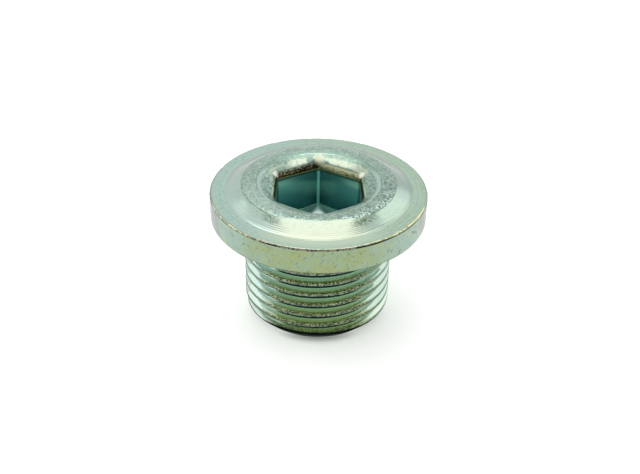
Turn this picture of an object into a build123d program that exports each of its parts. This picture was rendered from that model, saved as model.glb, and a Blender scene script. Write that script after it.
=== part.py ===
"""Hex socket plug: a one-piece collar screw plug, forged, turned and thread-rolled in steel.

The origin is on the axis, in the plane of the collar's seat. +Z points out of the tapped hole.
Sizes are in millimetres and angles in degrees.
"""

import os
from math import atan2, cos, degrees, radians, tan

from build123d import *

os.makedirs("parts", exist_ok=True)

# Thread: M18 x 1.5, drawn at its major diameter
thread_diameter = 18.0
thread_pitch = 1.5
thread_angle = 60.0
shank_length = 13.0  # from the seat to the foot
foot_lead_in = 0.28  # how far inside the thread's root the foot's chamfer ends

# Relief between the seat and the thread, where the sealing ring sits
relief_width = 2.5
relief_depth = 0.25  # below the thread's root
relief_bevel = 0.4  # in the corner at the seat

# Collar
collar_diameter = 26.0
collar_thickness = 3.3
collar_edge = 0.25  # bevel around its top and its seat

# Crown: the raised ring around the socket, with its heights above the collar's flat top
slope_foot_radius = 11.0
slope_top_radius = 9.2
slope_top_height = 0.95
slope_blend = 1.2  # hollow where the slope leaves the flat
crest_radius = 8.2
crest_height = 1.1
ring_edge_radius = 7.55  # inner edge of the crest, with a step down to the mouth
ring_edge_height = 1.07
mouth_radius = 7.1
mouth_height = 0.94

# Hexagon socket, left by a forging punch, with flats towards +X and -X
key_across_flats = 10.0
key_clearance = 0.1
corner_radius = 0.4
socket_depth = 6.85  # from the crest to the corners of the floor
facet_drop = 0.94  # from the mouth's circle to the hexagon
lip_radius = 1.3  # where the facets turn down into the walls
nose_angle = 150.0
nose_edge = 0.3

# Sizes that follow
thread_radius = thread_diameter / 2
root_radius = thread_radius - 0.6134 * thread_pitch  # the depth of an ISO external thread
foot_radius = root_radius - foot_lead_in
foot_chamfer = thread_radius - foot_radius
relief_radius = root_radius - relief_depth
run_out = (thread_radius - relief_radius) * tan(radians(thread_angle / 2))
collar_radius = collar_diameter / 2
crest_level = collar_thickness + crest_height
ring_edge_level = collar_thickness + ring_edge_height
mouth_level = collar_thickness + mouth_height
hexagon_level = mouth_level - facet_drop
floor_level = crest_level - socket_depth

# The hexagon, and the angle that each of its rounded corners spans about the axis
sides = 6
half_side_angle = 180 / sides
flat_radius = (key_across_flats + key_clearance) / 2
point_radius = flat_radius / cos(radians(half_side_angle))
corner_inset = corner_radius * (1 / cos(radians(half_side_angle)) - cos(radians(half_side_angle)))
half_corner_angle = degrees(atan2(corner_radius / 2, point_radius - corner_inset))
nose_height = point_radius / tan(radians(nose_angle / 2))

# Punch: a hexagon with a blunt conical nose, under a shoulder that spreads to the mouth's circle
with BuildPart() as punch:
    with BuildSketch(Plane.XY.offset(floor_level - nose_height)):
        RegularPolygon(flat_radius, sides, major_radius=False, rotation=half_side_angle)
        fillet(vertices(), corner_radius)
    extrude(amount=hexagon_level - floor_level + nose_height)
    with BuildSketch(Plane.XZ):
        with BuildLine():
            nose = Line((0, floor_level - nose_height), (point_radius, floor_level))
            Polyline(nose @ 1, (point_radius, hexagon_level), (0, hexagon_level), nose @ 0)
        make_face()
    revolve(axis=Axis.Z, mode=Mode.INTERSECT)
    nose_outline = faces().filter_by(GeomType.CONE).edges().filter_by(GeomType.LINE, reverse=True)
    chamfer(nose_outline, nose_edge)

    # The mouth's circle has one arc for each rounded corner of the hexagon and one for each flat
    with BuildSketch(Plane.XY.offset(mouth_level)) as mouth:
        with BuildLine():
            for side in range(sides):
                corner_end = half_side_angle * (2 * side + 1) + half_corner_angle
                flat_span = 2 * (half_side_angle - half_corner_angle)
                CenterArc((0, 0), mouth_radius, corner_end, flat_span)
                CenterArc((0, 0), mouth_radius, corner_end + flat_span, 2 * half_corner_angle)
        make_face()
    loft([faces().sort_by(Axis.Z)[-1], mouth.sketch.face()], ruled=True)
    hexagon_edges = edges().group_by(Axis.Z)[-3]  # below the mouth's circle and the facets' seams
    fillet(hexagon_edges, lip_radius)

# Blank: one outline from the foot, up the shank and over the collar, to the crown's mouth
with BuildPart() as hex_socket_plug:
    with BuildSketch(Plane.XZ):
        with BuildLine():
            flank = Polyline(
                (0, -shank_length),
                (foot_radius, -shank_length),
                (thread_radius, -shank_length + foot_chamfer),
                (thread_radius, -relief_width),
                (relief_radius, -relief_width + run_out),
                (relief_radius, 0),
                (collar_radius, 0),
                (collar_radius, collar_thickness),
                (slope_foot_radius, collar_thickness),
                (slope_top_radius, collar_thickness + slope_top_height),
            )
            crown = ThreePointArc(flank @ 1, (crest_radius, crest_level), (ring_edge_radius, ring_edge_level))
            Polyline(crown @ 1, (mouth_radius, mouth_level), (0, mouth_level), flank @ 0)
        make_face()
        chamfer(vertices().group_by(Axis.X)[-1], collar_edge)
        chamfer(vertices().sort_by_distance((relief_radius, 0))[0], relief_bevel)
        fillet(vertices().sort_by_distance((slope_foot_radius, collar_thickness))[0], slope_blend)
    revolve(axis=Axis.Z)
    add(punch.part, mode=Mode.SUBTRACT)

hex_socket_plug.part.label = "hex_socket_plug"
export_step(hex_socket_plug.part, "parts/hex_socket_plug.step")
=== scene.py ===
from math import atan2, cos, exp, hypot, pi, radians, sin, tan

import bmesh
import bpy
from mathutils import Matrix, Vector, noise


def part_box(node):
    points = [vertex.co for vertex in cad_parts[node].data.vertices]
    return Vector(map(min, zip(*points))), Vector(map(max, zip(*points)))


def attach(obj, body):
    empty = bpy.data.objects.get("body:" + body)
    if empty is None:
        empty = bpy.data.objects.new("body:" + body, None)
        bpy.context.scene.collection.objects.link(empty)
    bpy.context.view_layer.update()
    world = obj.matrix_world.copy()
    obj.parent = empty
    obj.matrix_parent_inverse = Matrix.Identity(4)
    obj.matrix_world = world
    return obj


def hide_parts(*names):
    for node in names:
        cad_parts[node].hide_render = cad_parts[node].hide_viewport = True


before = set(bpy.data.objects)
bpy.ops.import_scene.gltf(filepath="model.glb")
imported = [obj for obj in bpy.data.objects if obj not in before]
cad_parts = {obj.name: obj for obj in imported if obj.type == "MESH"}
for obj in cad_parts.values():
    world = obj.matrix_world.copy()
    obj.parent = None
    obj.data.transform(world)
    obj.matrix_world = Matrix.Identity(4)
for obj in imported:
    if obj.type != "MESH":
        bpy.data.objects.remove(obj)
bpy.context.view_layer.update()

# Thread: M18 x 1.5, right-hand, cold rolled on the turned shank. Rolling pushes the steel up from
# both flanks into each crest, where the two lips meet in a rough seam. It runs out at the relief
# under the collar and at the chamfer of the foot.
MM = 0.001
foot_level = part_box("hex_socket_plug")[0].z / MM
thread_radius = 9.0
thread_pitch = 1.5
thread_depth = 0.6134 * thread_pitch  # of an ISO external thread
root_radius = thread_radius - thread_depth
root_round = 0.18
crest_round = 0.06
crest_width = 0.36
seam_width = 0.12
seam_depth = 0.04
groove_height_at_x = -7.74  # the middle of one groove where it passes +X
flank_slope = tan(radians(30))
half_pitch = thread_pitch / 2
groove_width = half_pitch - crest_width / 2
thread_steps = 240
turns_each_way = 5
thread_mesh_size = 0.3
thread_weld = 1e-3
weld = 1e-4
foot_lead_in = 0.28  # how far inside the thread's root the foot's chamfer ends
foot_radius = root_radius - foot_lead_in
foot_rings = (0.985, 0.7, 0.6, 0)  # each ring of the flat foot as a share of the one outside it
relief_depth = 0.25  # below the thread's root
relief_radius = root_radius - relief_depth
relief_width = 2.5
join_level = -1.2  # in the relief, where the thread's skin meets the crown's


def draw_outline(mesh, points):
    """A wire through (radius, height) points, in the plane of +X and +Z."""
    corners = [mesh.verts.new((radius, 0, height)) for radius, height in points]
    for pair in zip(corners, corners[1:]):
        mesh.edges.new(pair)
    return corners


def round_off(mesh, corner, reach, steps):
    """Rounds a corner of a wire."""
    bmesh.ops.bevel(
        mesh, geom=[corner], offset=reach, offset_type="OFFSET", segments=steps,
        profile=0.5, affect="VERTICES", material=-1,
    )


def split_long_sides(mesh, longest):
    """Divides each side of a wire into equal lengths, none over the longest."""
    for side in mesh.edges[:]:
        cuts = int(side.calc_length() / longest)
        if cuts:
            bmesh.ops.subdivide_edges(mesh, edges=[side], cuts=cuts)


def open_rim(mesh, level):
    """The open edges that lie at a height."""
    return [
        edge for edge in mesh.edges
        if edge.is_boundary and all(abs(end.co.z - level) < weld for end in edge.verts)
    ]


def points_of(edges):
    """The points at the ends of edges, each once."""
    return list(dict.fromkeys(end for edge in edges for end in edge.verts))


def extend_rim(mesh, rim):
    """Draws a ring of open edges out into a new ring, which lies on it until it is moved."""
    grown = bmesh.ops.extrude_edge_only(mesh, edges=rim)["geom"]
    return [item for item in grown if isinstance(item, bmesh.types.BMEdge) and item.is_boundary]


def only_points(items):
    """The points among the points, edges and faces of a mesh."""
    return [item for item in items if isinstance(item, bmesh.types.BMVert)]


def waves(place, *heights_and_scales):
    """A rough surface's height at a place: smooth noise at a few scales."""
    return sum(height * noise.noise(place * scale) for height, scale in heights_and_scales)


thread = bmesh.new()
groove = draw_outline(thread, [
    (thread_radius - seam_depth, -half_pitch),
    (thread_radius, -half_pitch + seam_width / 2),
    (thread_radius, -groove_width),
    (thread_radius - groove_width / flank_slope, 0),
    (thread_radius, groove_width),
    (thread_radius, half_pitch - seam_width / 2),
    (thread_radius - seam_depth, half_pitch),
])
for corner, reach, steps in (
    (groove[2], crest_round, 2),
    (groove[3], root_round / flank_slope, 8),
    (groove[4], crest_round, 2),
):
    round_off(thread, corner, reach, steps)
split_long_sides(thread, thread_mesh_size)
bmesh.ops.spin(
    thread, geom=thread.verts[:] + thread.edges[:], cent=(0, 0, 0), axis=(0, 0, 1),
    dvec=(0, 0, thread_pitch / thread_steps), angle=2 * pi, steps=thread_steps,
)
first_turn = thread.verts[:] + thread.edges[:] + thread.faces[:]
for count in range(-turns_each_way, turns_each_way + 1):
    turn = bmesh.ops.duplicate(thread, geom=first_turn)["geom"]
    height = groove_height_at_x + count * thread_pitch
    bmesh.ops.translate(thread, verts=only_points(turn), vec=(0, 0, height))
bmesh.ops.delete(thread, geom=only_points(first_turn), context="VERTS")
bmesh.ops.remove_doubles(thread, verts=thread.verts, dist=thread_weld)

# the two lips of each crest wander up and down, and are worn back in places
lip_height = 0.12
lip_wander = 0.05
lip_wear = 0.03
for point in thread.verts:
    radius = hypot(point.co.x, point.co.y)
    near_crest = max(0, (radius - thread_radius + lip_height) / lip_height)
    if near_crest > 0:
        point.co.z += lip_wander * near_crest * waves(point.co, (1, 1.1), (0.6, 2.7))
        point.co.xy *= 1 - lip_wear * near_crest * abs(waves(point.co, (1, 1.9))) / radius

# the foot's chamfer and the relief's run-out cut through the ridges
run_out_slope = tan(radians(60))
for point in thread.verts:
    radius = hypot(point.co.x, point.co.y)
    limit = min(
        foot_radius + max(point.co.z - foot_level, 0),
        max(relief_radius, thread_radius - (point.co.z + relief_width) * run_out_slope),
    )
    if radius > limit:
        point.co.xy *= limit / radius
for level, cut_below in ((foot_level, True), (join_level, False)):
    bmesh.ops.bisect_plane(
        thread, geom=thread.verts[:] + thread.edges[:] + thread.faces[:],
        plane_co=(0, 0, level), plane_no=(0, 0, 1),
        clear_inner=cut_below, clear_outer=not cut_below,
    )

# the foot is flat and closed
rim = open_rim(thread, foot_level)
for scale in foot_rings:
    rim = extend_rim(thread, rim)
    for point in points_of(rim):
        point.co.xy *= scale
bmesh.ops.remove_doubles(thread, verts=points_of(rim), dist=thread_weld)
for face in thread.faces:
    face.material_index = 0

# Collar and crown: turned from the forged blank, from the relief out over the collar and up its
# slope. The tool stopped at the crest, so the ring round the socket keeps the skin of the forging.
collar_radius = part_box("hex_socket_plug")[1].x / MM
collar_top = 3.3
collar_edge = 0.25
relief_bevel = 0.4
slope_foot_radius = 11.0
slope_foot_hollow = 0.3
slope_top_radius = 9.2
slope_top = collar_top + 0.95
crest_radius = 8.2
crest_level = collar_top + 1.1
ring_edge_radius = 7.55
ring_edge_level = crest_level - 0.03
ring_step = ((0.1, 0.045), (0.2, 0.075), (0.32, 0.115))  # in from the edge and below the crest
mouth_radius = 7.1
mouth_level = collar_top + 0.94
relief_start = join_level + 0.2
crown_steps = 360
crown_mesh_size = 0.32


def arc_through(first, middle, last, steps):
    """Points of the circle through three (radius, height) points, from the first to the last."""
    (ax, ay), (bx, by), (cx, cy) = first, middle, last
    twice_area = 2 * (ax * (by - cy) + bx * (cy - ay) + cx * (ay - by))
    squares = (ax**2 + ay**2, bx**2 + by**2, cx**2 + cy**2)
    ux = (squares[0] * (by - cy) + squares[1] * (cy - ay) + squares[2] * (ay - by)) / twice_area
    uy = (squares[0] * (cx - bx) + squares[1] * (ax - cx) + squares[2] * (bx - ax)) / twice_area
    reach = hypot(ax - ux, ay - uy)
    start = atan2(ay - uy, ax - ux)
    sweep = atan2(cy - uy, cx - ux) - start
    angles = [start + sweep * step / steps for step in range(steps + 1)]
    return [(ux + reach * cos(angle), uy + reach * sin(angle)) for angle in angles]


crown = bmesh.new()
outline = draw_outline(crown, [
    (relief_radius, relief_start),
    (relief_radius, 0),
    (collar_radius, 0),
    (collar_radius, collar_top),
    (slope_foot_radius, collar_top),
    *arc_through(
        (slope_top_radius, slope_top), (crest_radius, crest_level),
        (ring_edge_radius, ring_edge_level), 14,
    ),
    *((ring_edge_radius - inward, crest_level - down) for inward, down in ring_step),
    (mouth_radius, mouth_level),
])
for corner, reach, steps in (
    (outline[1], relief_bevel, 4),
    (outline[2], collar_edge, 6),
    (outline[3], collar_edge, 8),
    (outline[4], slope_foot_hollow, 6),
):
    round_off(crown, corner, reach, steps)
split_long_sides(crown, crown_mesh_size)
bmesh.ops.spin(
    crown, geom=crown.verts[:] + crown.edges[:], cent=(0, 0, 0), axis=(0, 0, 1),
    angle=2 * pi, steps=crown_steps, use_merge=True,
)

# the forged ring is leathery and starts at a fine ragged groove, and knocks have nicked the rim
groove_depth = 0.022
groove_reach = 0.09
outer_fade = 0.15
inner_fade = 0.2
slope_middle = collar_top + 0.5
rim_reach = 0.3
nick_start = 0.35
nick_depth = 0.1
for point in crown.verts:
    radius = hypot(point.co.x, point.co.y)
    ring_start = slope_top_radius + waves(point.co, (0.09, 1.3), (0.07, 3.1))
    if point.co.z > slope_middle:
        forged = min(1, max(0, (ring_start - radius) / outer_fade))
        forged *= min(1, (radius - mouth_radius) / inner_fade)
        leather = waves(point.co, (0.012, 1.7), (0.006, 3.9))
        fine_groove = groove_depth * exp(-((radius - ring_start) / groove_reach) ** 2)
        point.co.z += forged * leather - fine_groove
    if radius > collar_radius - rim_reach and point.co.z > collar_top - rim_reach:
        nick = max(0, waves(point.co, (1, 0.9), (0.5, 2.3)) - nick_start)
        point.co -= nick * Vector((point.co.x / radius, point.co.y / radius, 1)) * nick_depth
for face in crown.faces:
    face.material_index = 1

# Socket: a hexagon punched cold, with rounded corners and flats towards +X and -X, under six
# facets that spread to the mouth's circle. The punch's conical nose has left the floor.
sides = 6
half_side_angle = radians(180 / sides)
flat_radius = 5.05
point_radius = flat_radius / cos(half_side_angle)
corner_radius = 0.4
corner_steps = 4
hexagon_level = collar_top
lip_reach = 0.85
nose_edge = 0.15
socket_depth = 6.85
socket_floor = crest_level - socket_depth
nose_slope = 1 / tan(radians(75))
nose_level = socket_floor - point_radius * nose_slope
wall_cuts = 7
wall_edge_length = 0.5  # edges longer than this run down the walls or across the floor

socket = bmesh.new()
hexagon = bmesh.ops.create_circle(
    socket, segments=sides, radius=point_radius, matrix=Matrix.Translation((0, 0, hexagon_level)),
)["verts"]
bmesh.ops.bevel(
    socket, geom=hexagon, offset=corner_radius * tan(half_side_angle), offset_type="OFFSET",
    segments=corner_steps, profile=0.5, affect="VERTICES", material=-1,
)
bmesh.ops.subdivide_edges(
    socket, edges=[edge for edge in socket.edges if edge.calc_length() > 1],
    cuts=crown_steps // sides - corner_steps - 1,
)
hexagon_edges = socket.edges[:]
mouth = bmesh.ops.create_circle(
    socket, segments=crown_steps, radius=mouth_radius,
    matrix=Matrix.Translation((0, 0, mouth_level)),
)["verts"]
mouth_edges = list(dict.fromkeys(edge for point in mouth for edge in point.link_edges))
bmesh.ops.bridge_loops(socket, edges=hexagon_edges + mouth_edges)
wall_rim = extend_rim(socket, hexagon_edges)
for point in points_of(wall_rim):
    point.co.z = nose_level + point.co.xy.length * nose_slope
floor_rim = extend_rim(socket, wall_rim)
for point in points_of(floor_rim):
    point.co = (0, 0, nose_level)
for ring, reach, steps in ((hexagon_edges, lip_reach, 9), (wall_rim, nose_edge, 4)):
    bmesh.ops.bevel(
        socket, geom=ring, offset=reach, offset_type="OFFSET",
        segments=steps, profile=0.5, affect="EDGES", material=-1,
    )
bmesh.ops.subdivide_edges(
    socket, edges=[edge for edge in socket.edges if edge.calc_length() > wall_edge_length],
    cuts=wall_cuts,
)
bmesh.ops.remove_doubles(socket, verts=socket.verts, dist=weld)

# the facets keep the forging's dents, which fade out at the mouth
mouth_fade = 0.4
facets_end = hexagon_level - 0.2
for point in socket.verts:
    radius = hypot(point.co.x, point.co.y)
    if point.co.z > facets_end:
        inside = min(1, max(0, mouth_radius - radius) / mouth_fade)
        point.co.z += inside * waves(point.co, (0.03, 0.8), (0.018, 2.1))
for face in socket.faces:
    face.material_index = 2

# The plug is one piece of steel: thread, crown and socket are joined into one skin. It is zinc
# plated and passivated, which leaves a pale green metal with yellow, olive and lilac tints.
plug = bmesh.new()


def sort_by_place(mesh):
    """Spin and bevel leave a mesh in any order. Sorted, it is welded the same way each run."""
    for items, place in (
        (mesh.verts, lambda point: tuple(point.co)),
        (mesh.edges, lambda edge: tuple(edge.verts[0].co + edge.verts[1].co)),
        (mesh.faces, lambda face: tuple(face.calc_center_median())),
    ):
        for rank, item in enumerate(sorted(items, key=place)):
            item.index = rank
        items.sort()


for part in (thread, crown, socket):
    sort_by_place(part)
    mesh = bpy.data.meshes.new("part")
    part.to_mesh(mesh)
    plug.from_mesh(mesh)
    part.free()
    bpy.data.meshes.remove(mesh)
bmesh.ops.bridge_loops(plug, edges=open_rim(plug, join_level) + open_rim(plug, relief_start))
bmesh.ops.remove_doubles(plug, verts=plug.verts, dist=weld)
bmesh.ops.recalc_face_normals(plug, faces=plug.faces)
bmesh.ops.scale(plug, vec=(MM, MM, MM), verts=plug.verts)
for face in plug.faces:
    face.smooth = True
plug_mesh = bpy.data.meshes.new("hex_socket_plug_body")
plug.to_mesh(plug_mesh)
plug.free()
plug_piece = bpy.data.objects.new("plug_body", plug_mesh)
bpy.context.scene.collection.objects.link(plug_piece)


class Tone:
    """A value in a material. Sums written on it add their Math nodes, and add() any other node."""

    def __init__(self, tree, socket=None):
        self.tree = tree
        self.socket = socket

    def add(self, kind, settings=(), sockets=(), output=0):
        """Adds a node, with its settings first and then the values or links of its sockets."""
        node = self.tree.nodes.new("ShaderNode" + kind)
        for name, value in dict(settings).items():
            setattr(node, name, value)
        for name, value in dict(sockets).items():
            if isinstance(value, Tone):
                self.tree.links.new(value.socket, node.inputs[name])
            else:
                node.inputs[name].default_value = value
        return Tone(self.tree, node.outputs[output])

    def sum(self, operation, first, second):
        return self.add("Math", {"operation": operation}, {0: first, 1: second})

    def __add__(self, other):
        return self.sum("ADD", self, other)

    def __radd__(self, other):
        return self.sum("ADD", other, self)

    def __sub__(self, other):
        return self.sum("SUBTRACT", self, other)

    def __rsub__(self, other):
        return self.sum("SUBTRACT", other, self)

    def __mul__(self, other):
        return self.sum("MULTIPLY", self, other)

    def __rmul__(self, other):
        return self.sum("MULTIPLY", other, self)

    def __truediv__(self, other):
        return self.sum("DIVIDE", self, other)

    def __rtruediv__(self, other):
        return self.sum("DIVIDE", other, self)


def rise(value, start, end):
    """0 before start and 1 past end, with a soft run between."""
    return value.add(
        "MapRange", {"interpolation_type": "SMOOTHSTEP"},
        {"Value": value, "From Min": start, "From Max": end},
    )


def between(value, start, end, blur):
    """1 from start to end and 0 outside them, with soft edges."""
    return rise(value, start - blur, start + blur) * rise(value, end + blur, end - blur)


def grain(place, scale, detail=2.0, roughness=0.5):
    """Noise with a mean of 0.5, in lumps of about 1/scale millimetres."""
    return place.add("TexNoise", (), {
        "Vector": place, "Scale": scale, "Detail": detail, "Roughness": roughness,
    })


def rings(radius, scale, detail=2.0):
    """Noise that changes with the radius alone, as a turning tool leaves it."""
    return radius.add(
        "TexNoise", {"noise_dimensions": "1D"}, {"W": radius, "Scale": scale, "Detail": detail},
    )


def blend(share, below, above):
    """Goes from one colour to another."""
    sockets = {0: share}
    for index, color in ((6, below), (7, above)):
        sockets[index] = color if isinstance(color, Tone) else (*color, 1)
    return share.add("Mix", {"data_type": "RGBA"}, sockets, 2)


def stretched(place, scale):
    """A place with each of its coordinates multiplied by its own number."""
    return place.add("VectorMath", {"operation": "MULTIPLY"}, {0: place, 1: scale})


def angle_of(x, y):
    """The angle about the plug's axis, in radians from +X."""
    return y.add("Math", {"operation": "ARCTAN2"}, {0: y, 1: x})


def start_zinc(name):
    """A new zinc material, with its place on the plug and its radius, in millimetres."""
    material = bpy.data.materials.new(name)
    material.use_nodes = True
    shader = material.node_tree.nodes["Principled BSDF"]
    shader.inputs["Metallic"].default_value = 1
    tree = Tone(material.node_tree)
    coords = tree.add("TexCoord", output=3)
    place = tree.add("VectorMath", {"operation": "SCALE"}, {0: coords, 3: 1 / MM})
    flat = stretched(place, (1, 1, 0))
    radius = tree.add("VectorMath", {"operation": "LENGTH"}, {0: flat}, 1)
    x = tree.add("SeparateXYZ", (), {0: place}, 0)
    y = tree.add("SeparateXYZ", (), {0: place}, 1)
    z = tree.add("SeparateXYZ", (), {0: place}, 2)
    return material, shader, place, radius, x, y, z


def finish_zinc(shader, color, roughness, relief):
    """Puts a colour, a roughness and a relief in millimetres on a zinc material."""
    links = color.tree.links
    bump = relief.add("Bump", (), {"Height": relief, "Distance": MM})
    for name, value in (("Base Color", color), ("Roughness", roughness), ("Normal", bump)):
        links.new(value.socket, shader.inputs[name])


def patch(place, middle, reach, blur):
    """1 in a round patch about a point, and 0 outside it."""
    distance = place.add("VectorMath", {"operation": "DISTANCE"}, {0: place, 1: middle}, 1)
    return rise(distance, reach + blur, reach - blur)


# thread: smooth flanks that go from teal at the sides to green in front, a root painted near
# black as shade in front and pale as a highlight at the sides, and rough crests in yellow and grey
thread_zinc, shader, place, radius, x, y, z = start_zinc("zinc_thread")
front = 0 - y / radius
below = rise(z, -4.0, -11.5)
cloud = grain(place, 0.45, 2)
facing = rise(front + 0.4 * (cloud - 0.5), 0.6, 0.95)
teal = blend(below, (0.46, 0.59, 0.54), (0.53, 0.66, 0.57))
teal = blend(0.8 * rise(x, 2, 6), teal, (0.47, 0.6, 0.5))
green = blend(below, (0.38, 0.51, 0.37), (0.41, 0.51, 0.3))
flank_color = blend(facing, teal, green)
# an olive band under each crest in front, a painted reflection
olive = rise(radius + 0.1 * (cloud - 0.5), 8.7, 8.92) * rise(front, 0.6, 0.9)
flank_color = blend(0.85 * olive, flank_color, (0.3, 0.34, 0.1))
# a pale teal line along the root's edge in front, a painted highlight
root_edge_highlight = between(radius, 8.37, 8.44, 0.03)
flank_color = blend(0.5 * root_edge_highlight * facing, flank_color, (0.55, 0.86, 0.76))
root = rise(radius, 8.37, 8.29) * rise(z, -2.2, -2.5)
# the root is painted near black in front, as shade
flank_color = blend(0.97 * root * rise(front, 0.76, 0.86), flank_color, (0.015, 0.03, 0.035))
# at the sides the root is painted pale, as a highlight
root_highlight = root * between(front, 0.42, 0.8, 0.05) * (0.6 + 0.4 * rise(x, 1, -1))
flank_color = blend(root_highlight, flank_color, (0.9, 1, 1))
angle = angle_of(x, y)
turns = (z - groove_height_at_x) / thread_pitch - angle / (2 * pi)
dash = grain(stretched(place, (1, 1, 2)), 2.2, 3, 0.8)
fleck = grain(stretched(place, (1.5, 1.5, 2)), 3.1, 1, 0.7)
across = turns.add("Math", {"operation": "FRACT"}, {0: turns}) - 0.5 + 0.1 * (dash - 0.5)
aside = rise(front + 0.2 * (cloud - 0.5), 0.82, 0.6)
crest = rise(radius + 0.1 * (fleck - 0.5) - 0.08 * aside, 8.82, 8.88) * rise(z, -1.8, -2.2)
lower_lip = blend(rise(fleck, 0.46, 0.53), (0.07, 0.1, 0.08), (0.3, 0.38, 0.32))
upper_lip = blend(rise(fleck, 0.48, 0.53), (0.08, 0.11, 0.04), (0.42, 0.47, 0.25))
crest_color = blend(rise(across, -0.03, 0.02), lower_lip, upper_lip)
seam = between(across, -0.03, 0.025, 0.015) * rise(dash, 0.54, 0.47)
crest_color = blend(0.9 * seam, crest_color, (0.04, 0.07, 0.04))
crest_color = blend(0.8 * aside, crest_color, (0.2, 0.3, 0.24))
color = blend(crest, flank_color, crest_color)
# the lowest turn in front is painted darker, as shade
low_turn_shade = rise(z - 0.3 * radius, -13.6, -14.05) * rise(front, 0.6, 0.85)
low_turn_shade_color = blend(rise(fleck, 0.47, 0.53), (0.1, 0.14, 0.07), (0.34, 0.4, 0.24))
color = blend(0.8 * low_turn_shade, color, low_turn_shade_color)
foot_height = z - 0.5 * radius
ragged_height = foot_height + 0.1 * (dash - 0.5)
glint = between(foot_height, -15.85, -15.5, 0.06) * rise(front, 0.75, 0.5) * rise(x, 0, 4)
color = blend(glint, color, (0.6, 0.68, 0.56))
shade = rise(foot_height, -15.0, -15.4) * rise(x, -2, -5)
color = blend(0.4 * shade, color, (0.24, 0.33, 0.27))
# a pale line under the lowest crest at the left, a painted highlight
foot_highlight = between(ragged_height, -15.7, -15.52, 0.04) * rise(x, -3.6, -4.4)
color = blend(0.9 * foot_highlight, color, (0.9, 1, 0.95))
# the foot's edge is painted near black, mostly in front, as shade
foot = rise(ragged_height + 0.3 * rise(front, 0.95, 0.6), -15.93, -16.03)
foot = foot * rise(front, 0.1, 0.4)
color = blend(foot, color, (0.01, 0.015, 0.012))
roughness = 0.09 + 0.13 * crest + 0.5 * foot + 0.4 * root_highlight
finish_zinc(shader, color, roughness, crest * fleck * 0.012)

# crown: fine rings of the turning tool, a leathery forged ring inside them, tints of the plating
# that drift from olive at the front of the collar to lilac at its sides, and painted highlights
# and shade on the slope, the annulus and the bevels
crown_zinc, shader, place, radius, x, y, z = start_zinc("zinc_crown")
front = 0 - y / radius
angle = angle_of(x, y)
cloud = grain(place, 0.3, 2)
speck = grain(place, 2.6, 5, 0.75)
ragged = 0.2 * (grain(place, 1.3) - 0.5) + 0.24 * (grain(place, 3.4, 3) - 0.5)
near = rise(front + 0.1 * (speck - 0.5), 0.86, 0.97)
fine_rings = rings(radius, 6.0, 3)
feed = radius.add("Math", {"operation": "SINE"}, {0: 29 * radius + 9 * cloud})
cool = blend(rise(fine_rings, 0.3, 0.7), (0.365, 0.515, 0.455), (0.42, 0.58, 0.51))
warm = blend(rise(fine_rings, 0.3, 0.7), (0.36, 0.495, 0.385), (0.43, 0.57, 0.45))
turned_color = blend(rise(x + 6 * (cloud - 0.5), -8, 6), cool, warm)
turned_color = blend(0.6 * rise(speck, 0.53, 0.6), turned_color, (0.28, 0.4, 0.32))
# the annulus is painted paler at the front, as a highlight
front_annulus_highlight = rise(front, 0.7, 0.99) * rise(radius, 13.2, 11.6)
turned_color = blend(front_annulus_highlight, turned_color, (0.52, 0.64, 0.49))
above_side = rise(z, 3.2, 3.3)
on_ring = rise(z, 3.8, 3.9)
slope = between(radius + 0.2 * (cloud - 0.5), 8.5, 11.2, 0.12) * above_side
# the slope is painted lighter towards the front and cream at its front as highlight, and darker at
# the back and back right as shade, over the plating's own tints
slope_color = blend(rise(front, -0.5, 0.1), (0.32, 0.42, 0.375), (0.4, 0.52, 0.46))
for share, tint in (
    (rise(x, 5, 9) * rise(front, 0.3, -0.1), (0.3, 0.4, 0.35)),
    (rise(x, 3, 6) * between(front, 0.3, 0.75, 0.1), (0.46, 0.6, 0.5)),
    (rise(x, -3, -6) * between(front, 0.5, 0.85, 0.1), (0.43, 0.56, 0.49)),
    (rise(front, 0.8, 0.95), (0.45, 0.5, 0.4)),
    (0.4 * rise(speck, 0.48, 0.66) * rise(radius, 10.6, 9.6), (0.27, 0.37, 0.3)),
):
    slope_color = blend(share, slope_color, tint)
# the turning tool's feed lines, painted pale at the left and cream in front as highlights, and
# olive at the right
lined = between(radius, 10.0, 11.2, 0.25) * rise(front, 0.05, 0.5) * above_side
feed_line_and_glint_color = blend(rise(x, 1.0, 4.5), (0.58, 0.56, 0.4), (0.26, 0.3, 0.14))
feed_line_and_glint_color = blend(rise(x, -3.0, -6.0), feed_line_and_glint_color, (0.61, 0.75, 0.69))
feed_lines_and_glints = lined * rise(feed, 0.2, 0.9) * rise(fine_rings, 0.4, 0.6)
turned_color = blend(slope, turned_color, slope_color)
turned_color = blend(0.75 * feed_lines_and_glints, turned_color, feed_line_and_glint_color)
lilac = between(radius, 10.2, 11.0, 0.3) * between(0 - front, 0.25, 0.8, 0.15)
edge_line = between(radius, 11.0, 11.1, 0.06) * rise(front, -0.3, -0.6)
turned_color = blend(0.7 * lilac, turned_color, (0.43, 0.46, 0.44))
turned_color = blend(0.8 * edge_line, turned_color, (0.42, 0.42, 0.38))
forged = rise(radius + ragged + 0.45 * near, 9.28, 9.12) * on_ring
forged_color = blend(rise(speck, 0.42, 0.58), (0.24, 0.35, 0.295), (0.345, 0.475, 0.41))
spots = grain(place, 3.3, 2, 0.7)
marks = (0.35 + 0.4 * rise(x, 0, 3)) * rise(front, -0.7, 0.2) + 0.15
polar = x.add("CombineXYZ", (), {0: 30 * angle, 1: 3.0 * radius})
streaks = grain(polar, 1.0, 1)
streaked = between(radius, 8.4, 9.25, 0.15) * rise(x, 0.5, 3.0) * rise(front, 0.1, 0.4)
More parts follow.
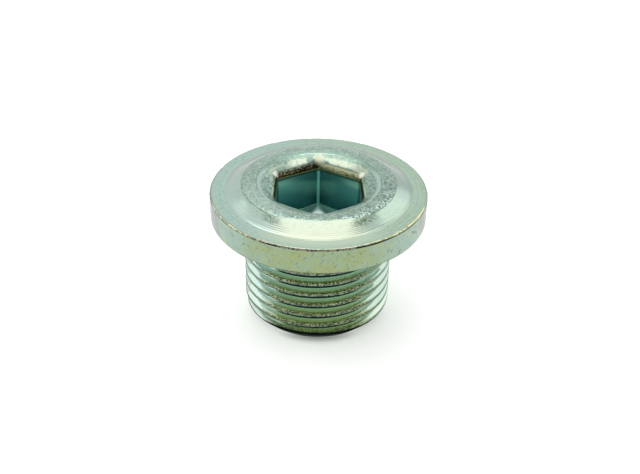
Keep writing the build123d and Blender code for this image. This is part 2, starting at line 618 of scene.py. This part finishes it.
for share, tint in (
    (0.45 * rise(x, -3, -6.5) * rise(front, -0.2, 0.4), (0.46, 0.61, 0.55)),
    (0.35 * rise(x + 4 * rise(front, 0.4, 0.8), 4.5, 7), (0.22, 0.32, 0.27)),
    (0.5 * rise(grain(place, 1.6), 0.5, 0.62), (0.34, 0.42, 0.28)),
    (marks * rise(spots, 0.55, 0.61), (0.1, 0.16, 0.15)),
    (0.6 * rise(spots, 0.44, 0.38), (0.5, 0.65, 0.59)),
    (0.8 * streaked * rise(streaks, 0.52, 0.6), (0.6, 0.74, 0.68)),
    (0.8 * streaked * rise(streaks, 0.44, 0.36), (0.08, 0.13, 0.12)),
):
    forged_color = blend(share, forged_color, tint)
crackle = between(radius + ragged, 9.16, 9.26, 0.04) * rise(front, 0.95, 0.8)
crackle = crackle * rise(grain(place, 1.1), 0.35, 0.5)
ragged_radius = radius + 0.4 * ragged
step_line = between(ragged_radius, 7.38, 7.48, 0.04) * rise(grain(place, 0.8), 0.3, 0.5)
rim_share = rise(ragged_radius, 7.44, 7.36) * on_ring
rim_color = blend(rise(front, -0.6, -0.2), (0.2, 0.3, 0.26), (0.38, 0.52, 0.47))
color = blend(forged, turned_color, forged_color)
color = blend(rim_share, color, rim_color)
color = blend(0.7 * crackle, color, (0.08, 0.12, 0.07))
color = blend(0.7 * step_line, color, (0.13, 0.18, 0.11))
# two dark grainy patches of painted shade on the slope, either side of its front
slope_shade_patches = between(angle, -1.12, -0.86, 0.12) + 0.8 * between(angle, -2.26, -2.08, 0.08)
slope_shade_patches = slope_shade_patches * between(radius, 9.2, 10.0, 0.3) * rise(z, 3.3, 3.4)
color = blend(slope_shade_patches * rise(speck, 0.4, 0.54), color, (0.13, 0.19, 0.1))

# the collar's side, with its scratches and dots
side = rise(z, 3.05, 2.98) * rise(z, -0.2, 0)
blotch = grain(stretched(place, (1, 1, 1.4)), 0.8, 6, 0.75)
side_front = blend(rise(blotch, 0.38, 0.62), (0.315, 0.43, 0.285), (0.35, 0.41, 0.19))
side_middle = blend(rise(blotch, 0.4, 0.6), (0.36, 0.48, 0.43), (0.39, 0.53, 0.38))
side_end = blend(rise(blotch, 0.4, 0.6), (0.205, 0.22, 0.235), (0.185, 0.24, 0.24))
drift = front + 0.3 * (cloud - 0.5)
side_color = blend(rise(drift, 0.3, 0.52), side_end, side_middle)
side_color = blend(rise(drift, 0.72, 0.95), side_color, side_front)
side_color = blend(rise(drift, -0.15, -0.45), side_color, side_middle)
underside = rise(z, 0.04, 0) * rise(front, 0.72, 0.4)
side_color = blend(underside, side_color, (0.42, 0.56, 0.47))
around = 13 * angle
slant = 1.6 * z * rise(cloud, 0.4, 0.6)
slanted = x.add("CombineXYZ", (), {0: 3.0 * around - slant, 1: 0.4 * around + 0.8 * z})
scratch = rise(grain(slanted, 1.0, 1), 0.66, 0.71)
dots = rise(grain(place, 2.1, 4, 0.75), 0.57, 0.65)
side_marks = (0.7 * scratch + 0.6 * dots) * (0.4 + 0.6 * rise(front, 0, 0.5))
side_color = blend(side_marks, side_color, (0.15, 0.2, 0.17))
color = blend(side, color, side_color)

# the collar's bevels: a ragged dark line of painted shade at the edge, with dashes of painted gold
# highlight inside and across it
rim_breakup = grain(place, 1.8, 3, 0.75)
bevel = rise(radius, 12.72, 12.8) * rise(z, 3.0, 3.1)
bevel_color = blend(rise(front, -0.2, 0.2), (0.26, 0.34, 0.24), (0.3, 0.36, 0.28))
rightward = rise(x, 3, 7)
# dashes of gold just inside the edge, painted highlights
rim_gold_highlight = between(radius + 0.06 * rightward, 12.84, 13.0, 0.02) * rise(z, 3.04, 3.1)
rim_gold_highlight = rim_gold_highlight * rise(rim_breakup + 0.04 * rightward, 0.48, 0.53) * rise(front, 0.24, 0.36)
rim_highlight_color = blend(rise(x, 4, 8), (0.6, 0.59, 0.42), (0.76, 0.72, 0.4))
# a ragged dark line at the edge, painted shade that is darkest in front
rim_shade = rise(radius + 0.3 * (rim_breakup - 0.5) + 0.03 * rise(front, 0.7, 0.9), 12.92, 12.97)
rim_shade = rim_shade * rise(z, 3.02, 3.06)
dark_front = rise(front + 0.2 * (rim_breakup - 0.5), 0.76, 0.9)
rim_shade_color = blend(dark_front, (0.1, 0.12, 0.05), (0.004, 0.004, 0.004))
# the collar's lower bevel is painted dark, as shade
seat_edge_shade = between(z, 0.06, 0.2, 0.03) * rise(radius, 12.5, 12.7)
color = blend(bevel, color, bevel_color)
color = blend(0.95 * rim_shade, color, rim_shade_color)
color = blend(0.85 * rim_gold_highlight, color, rim_highlight_color)
color = blend(seat_edge_shade, color, (0.16, 0.18, 0.08))
turned_relief = (1 - forged) * (fine_rings * 0.0012 + lined * feed * 0.004)
side_relief = blotch * 0.005 - scratch * 0.008
relief = (1 - side) * (turned_relief + forged * speck * 0.005) + side * side_relief
finish_zinc(shader, color, 0.16 + 0.1 * forged, relief)

# socket: grainy gold facets and lip with painted highlights and shade, smooth teal walls below
# them with painted shade and reflections, and a pale floor with a painted highlight
socket_zinc, shader, place, radius, x, y, z = start_zinc("zinc_socket")
walls = rise(z, 2.86, 2.78)
leather = grain(place, 2.9, 4, 0.8)
cloud = grain(place, 0.8, 2)
back = rise(y, 1.6, 3.6)
dull = blend(rise(leather, 0.4, 0.56), (0.12, 0.2, 0.155), (0.33, 0.47, 0.4))
cream = blend(rise(leather, 0.36, 0.5), (0.36, 0.43, 0.3), (0.45, 0.51, 0.41))
outer = blend(rise(leather, 0.4, 0.56), (0.19, 0.28, 0.23), (0.31, 0.42, 0.34))
ripple = z + 0.35 * (cloud - 0.5) + 0.1 * (leather - 0.5)
# a cream band and spot on the back facets, painted highlights
cream_highlight = between(ripple, 3.56, 3.97, 0.04) * between(x + (cloud - 0.5), -3.7, 6.0, 0.2)
cream_highlight = cream_highlight + patch(place, (0, 6.8, 4.1), 0.55, 0.35)
cream_highlight = cream_highlight + between(z, 3.84, 3.95, 0.03) * rise(x, -4.2, -4.4)
facet_color = blend(back, dull, blend(cream_highlight, outer, cream))
under = patch(place, (-1.0, 6.1, 3.7), 0.5, 0.12) + patch(place, (1.0, 5.9, 3.5), 0.3, 0.15)
facet_color = blend(0.85 * under, facet_color, (0.16, 0.25, 0.2))
facet_color = blend(0.8 * between(z, 3.42, 3.52, 0.03) * back, facet_color, (0.14, 0.21, 0.16))
rim_share = rise(radius + 0.15 * (cloud - 0.5), 6.85, 6.95) * rise(y, 3.5, 2.0)
facet_color = blend(rim_share, facet_color, (0.36, 0.5, 0.44))
# a pale line at the back of the mouth, a painted highlight
mouth_highlight = between(z, 4.2, 4.3, 0.03) * between(0 - x, -2.2, 2.4, 0.4) * back
facet_color = blend(mouth_highlight, facet_color, (0.5, 0.58, 0.5))
lip_height = z + 0.07 * y * rise(y, 2.9, 2.7)
lip = rise(z, 2.75, 2.85) * rise(lip_height, 3.47, 3.37)
fine = grain(place, 6.0, 2, 0.8)
grit = rise(fine + 0.2 * (z - 3.1) + 0.05 * rise(x, -2, -4), 0.56, 0.64)
# the back lip is painted black at the left as shade and gold at the right as a reflection, each
# with grit
left_lip_shade_and_grit = blend(grit, (0.01, 0.01, 0.005), (0.5, 0.48, 0.28))
right_lip_sheen_and_grit = blend(rise(fine + 0.3 * (z - 3.1), 0.4, 0.52), (0.06, 0.08, 0.03), (0.42, 0.44, 0.26))
back_lip = blend(rise(x, -0.2, 0.3), left_lip_shade_and_grit, right_lip_sheen_and_grit)
side_lip = blend(rise(lip_height, 3.2, 3.28), (0.02, 0.05, 0.035), (0.5, 0.62, 0.46))
lip_color = blend(rise(y - 0.1 * (z - 3), 2.6, 3.0), side_lip, back_lip)
lip_color = blend(rise(y, -1.5, -2.6), lip_color, (0.3, 0.4, 0.36))
facet_color = blend(lip, facet_color, lip_color)
# a light spot in the back corner, a painted highlight
corner = patch(place, (0.05, 6.3, 3.75), 0.45, 0.35)
facet_color = blend(corner, facet_color, (0.8, 0.84, 0.62))
# pale spots at the two side corners, painted highlights
side_corner_highlights = patch(place, (-5.25, 3.1, 3.4), 0.45, 0.15) + patch(place, (5.25, 3.1, 3.4), 0.45, 0.15)
facet_color = blend(0.9 * side_corner_highlights, facet_color, (0.6, 0.62, 0.54))

# the walls are painted darker downwards and in a band under the lip as shade, and paler bands that
# rise away from the back corner, a corner line and a line at the floor's edge as reflections
upper = between(z, 1.7, 2.3, 0.6) * rise(y, 4.6, 3.2)
side_reach = x.add("Math", {"operation": "ABSOLUTE"}, {0: x})
level = z + 0.55 * y
level_top = rise(level, 4.5, 3.8)
wall_reflection_band = rise(x, 0.5, -0.5) + 0.6 * rise(x, 0, 1) * rise(y, 4.2, 5.0)
wall_reflection_band = wall_reflection_band * rise(level, 2.2, 3.6) * level_top
inner = rise(y, 4.3, 5.4) * rise(level, 1.6, 3.2) * level_top
corner_highlight_line = rise(side_reach, 0.25, 0.12) * rise(y, 3.5, 4.5)
wall_color = blend(rise(z, -2.2, 1.5), (0.04, 0.19, 0.21), (0.13, 0.37, 0.37))
above_floor = z - nose_slope * radius - nose_level
for share, tint in (
    (0.65 * upper, (0.65, 0.95, 0.75)),
    (rise(y, 1.0, -1.5), (0.5, 0.66, 0.6)),
    (0.45 * wall_reflection_band, (0.36, 0.76, 0.66)),
    (0.5 * inner, (0.4, 0.85, 0.75)),
    (0.7 * corner_highlight_line, (0.36, 0.78, 0.72)),
    (0.7 * between(z, 2.45, 2.8, 0.06), (0.05, 0.12, 0.08)),
    (between(above_floor, 0.12, 0.3, 0.05), (0.34, 0.72, 0.62)),
):
    wall_color = blend(share, wall_color, tint)
floor_share = rise(above_floor, 0.16, 0.05)
floor_back = rise(y, 1.5, 3.0)
# a pale spot at the back of the floor, a painted highlight
floor_highlight = rise(radius + 1.3 * side_reach, 6.0, 4.8) * floor_back
floor_color = blend(floor_back, (0.5, 0.66, 0.6), (0.12, 0.27, 0.22))
floor_color = blend(floor_highlight, floor_color, (0.85, 0.95, 0.9))
wall_color = blend(floor_share, wall_color, floor_color)
color = blend(walls, facet_color, wall_color)
# a thin gold line where the lip meets the walls, a painted highlight
color = blend(between(z, 2.74, 2.84, 0.03), color, (0.5, 0.48, 0.12))
ridge = radius + 0.6 * side_reach * rise(y, 1.0, 3.0)
dish = 0.1 * floor_share * ridge.add("Math", {"operation": "MINIMUM"}, {0: ridge, 1: 4.9})
roughness = 0.2 + 0.3 * (1 - walls) * rise(y, 1.0, -1.0) + 0.22 * walls + 0.35 * corner
relief = (1 - walls) * leather * (0.01 + 0.012 * lip) + dish
finish_zinc(shader, color, roughness, relief)

for material in (thread_zinc, crown_zinc, socket_zinc):
    plug_mesh.materials.append(material)
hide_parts("hex_socket_plug")
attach(plug_piece, "root")

# Floor: a sheet of matt white paper. To the eye and in the metal it is white, and it keeps the
# plug's soft shadow, which is deepened and tinted green near the plug and to its right as a
# painted shadow.
floor_size = 2.0
paper_white = 0.8
floor_grid = bmesh.new()
bmesh.ops.create_grid(
    floor_grid, x_segments=1, y_segments=1, size=floor_size,
    matrix=Matrix.Translation((0, 0, foot_level * MM)),
)
floor_mesh = bpy.data.meshes.new("floor")
floor_grid.to_mesh(floor_mesh)
floor_grid.free()
floor = bpy.data.objects.new("floor", floor_mesh)
bpy.context.scene.collection.objects.link(floor)
paper = bpy.data.materials.new("paper")
paper.use_nodes = True
paper_shader = paper.node_tree.nodes["Principled BSDF"]
paper_shader.inputs["Base Color"].default_value = (paper_white, paper_white, paper_white, 1)
paper_shader.inputs["Roughness"].default_value = 1
paper_shader.inputs["Specular IOR Level"].default_value = 0
paper_shader.inputs["Emission Strength"].default_value = 1
paper_tone = Tone(paper.node_tree)
place = paper_tone.add("TexCoord", output=3)
shadow_middle = (0, -0.0004, 0)
flat = stretched(place, (1, 1, 0))
reach = flat.add("VectorMath", {"operation": "DISTANCE"}, {0: flat, 1: shadow_middle}, 1)
x = place.add("SeparateXYZ", (), {0: place}, 0)
y = place.add("SeparateXYZ", (), {0: place}, 1)
# painted shadow: the lift the eye sees is turned down at the foot's front and on the right
contact_shadow = rise(reach, 0.009, 0.0074) * rise(y, -0.0065, -0.0082)
open_share = (1.1 - 0.24 * rise(x, -0.01, 0.01)) * (1 - 0.7 * contact_shadow)
eye = paper_tone.add("LightPath", output=0)
mirrored = paper_tone.add("LightPath", output=3)
seen = eye * open_share + 0.5 * mirrored
lift = blend(rise(reach, 0.012, 0.0085), (0.5, 0.505, 0.495), (0.485, 0.53, 0.48))
lift = blend(seen, (0, 0, 0), lift)
paper.node_tree.links.new(lift.socket, paper_shader.inputs["Emission Color"])
floor_mesh.materials.append(paper)

# Studio light: pale walls behind and beside the plug, a dimmer room on the camera's side, and
# three soft boxes, above, at the left and at the right.
world = bpy.data.worlds.new("studio")
bpy.context.scene.world = world
world.use_nodes = True
walls_tone = Tone(world.node_tree)
direction = walls_tone.add("TexCoord", output=0)
back_wall = (-0.259, 0.966, 0)
depth = walls_tone.add("VectorMath", {"operation": "DOT_PRODUCT"}, {0: direction, 1: back_wall}, 1)
dim_room = 0.4
wall_light = dim_room + (1 - dim_room) * rise(depth, -0.45, -0.12)
eye = walls_tone.add("LightPath", output=0)
strength = wall_light + eye * (1 - wall_light)
background = world.node_tree.nodes["Background"]
world.node_tree.links.new(strength.socket, background.inputs["Strength"])
background.inputs["Color"].default_value = (1, 1, 1, 1)

for name, place, size, brightness in (
    ("top_light", (-0.01, 0.13, 0.5), (0.4, 0.5), 0.95),
    ("left_light", (-0.5, 0.12, 0.2), (0.6, 0.42), 0.45),
    ("right_light", (0.46, 0.2, 0.2), (0.7, 0.6), 0.35),
):
    lamp = bpy.data.lights.new(name, "AREA")
    lamp.shape = "RECTANGLE"
    lamp.size, lamp.size_y = size
    lamp.energy = brightness * pi * size[0] * size[1]
    light = bpy.data.objects.new(name, lamp)
    light.location = place
    light.rotation_euler = (-Vector(place)).to_track_quat("-Z", "Y").to_euler()
    bpy.context.scene.collection.objects.link(light)

# Camera: about 120 mm from the plug, looking down at 33 degrees.
aim = Vector((0, 0.834581, -0.550885))
right = Vector((0.99978, 0.0116, 0.0176))
up = Vector((-0.0211, 0.5508, 0.8344))
eye_point = Vector((0.268, -102.74, 64.22)) * MM
camera_data = bpy.data.cameras.new("camera")
camera_data.sensor_width = 36
camera_data.lens = 56.25
camera_data.clip_start = MM
camera = bpy.data.objects.new("camera", camera_data)
turn = Matrix((right, up, -aim)).transposed().to_4x4()
step_aside = Matrix.Rotation(radians(-0.86), 4, "Z")
camera.matrix_world = step_aside @ Matrix.Translation(eye_point) @ turn
bpy.context.scene.collection.objects.link(camera)
bpy.context.scene.camera = camera
bpy.context.scene.view_settings.view_transform = "Standard"
